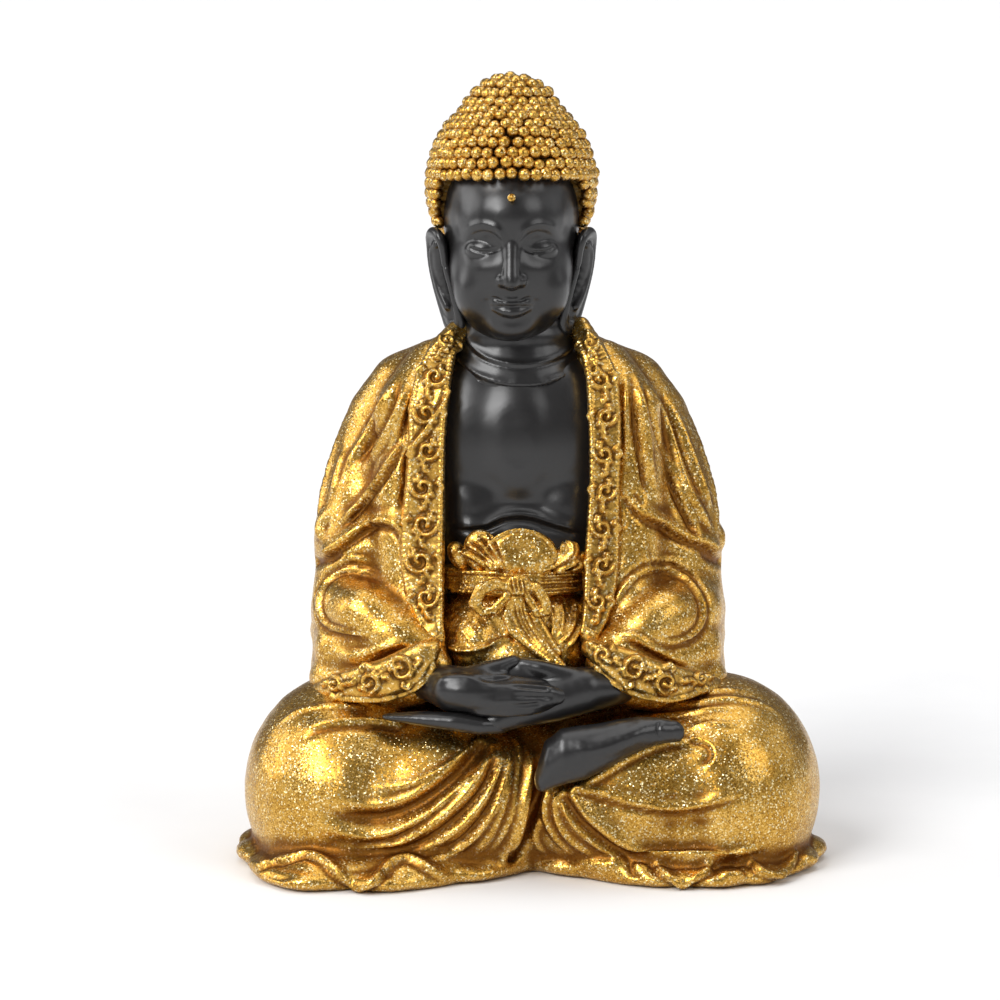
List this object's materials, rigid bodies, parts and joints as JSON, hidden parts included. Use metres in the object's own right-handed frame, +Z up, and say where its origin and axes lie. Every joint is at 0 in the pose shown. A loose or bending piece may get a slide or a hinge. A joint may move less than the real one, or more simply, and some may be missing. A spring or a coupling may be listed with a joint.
{
  "type": "seated buddha statue",
  "caption": "Free-standing seated meditation figure with curled hair, open robe with embroidered edges, knotted sash, hands in the lap and crossed legs on a ruffled hem.",
  "frame": {"origin": "middle of the underside of the felt, on the floor", "axes": "+Z up; the figure faces -Y; its own left hand is at +X"},
  "size_m": [0.2118, 0.1421, 0.281],
  "materials": {
    "gold_glitter": "satin",
    "black_skin": "satin",
    "bare_resin": "matte",
    "felt": "matte"
  },
  "bodies": {
    "root": {"felt_base": "felt", "base_plate": "bare_resin", "lap_left": "gold_glitter", "lap_right": "gold_glitter", "hem_left": "gold_glitter", "hem_right": "gold_glitter", "centre_drape": "gold_glitter", "robe_body": "gold_glitter", "chest": "black_skin", "neck": "black_skin", "head": "black_skin", "ear_left": "black_skin", "ear_right": "black_skin", "hair_cap": "gold_glitter", "urna": "gold_glitter", "lapel_left": "gold_glitter", "lapel_right": "gold_glitter", "sleeve_left": "gold_glitter", "sleeve_right": "gold_glitter", "cuff_left": "gold_glitter", "cuff_right": "gold_glitter", "sash_band": "gold_glitter", "sash_knot": "gold_glitter", "sash_tail": "gold_glitter", "waist_petals": "gold_glitter", "waist_wrap": "gold_glitter", "hand_left": "black_skin", "hand_right": "black_skin", "foot_front": "black_skin", "foot_rear": "black_skin"}
  },
  "joints": []
}
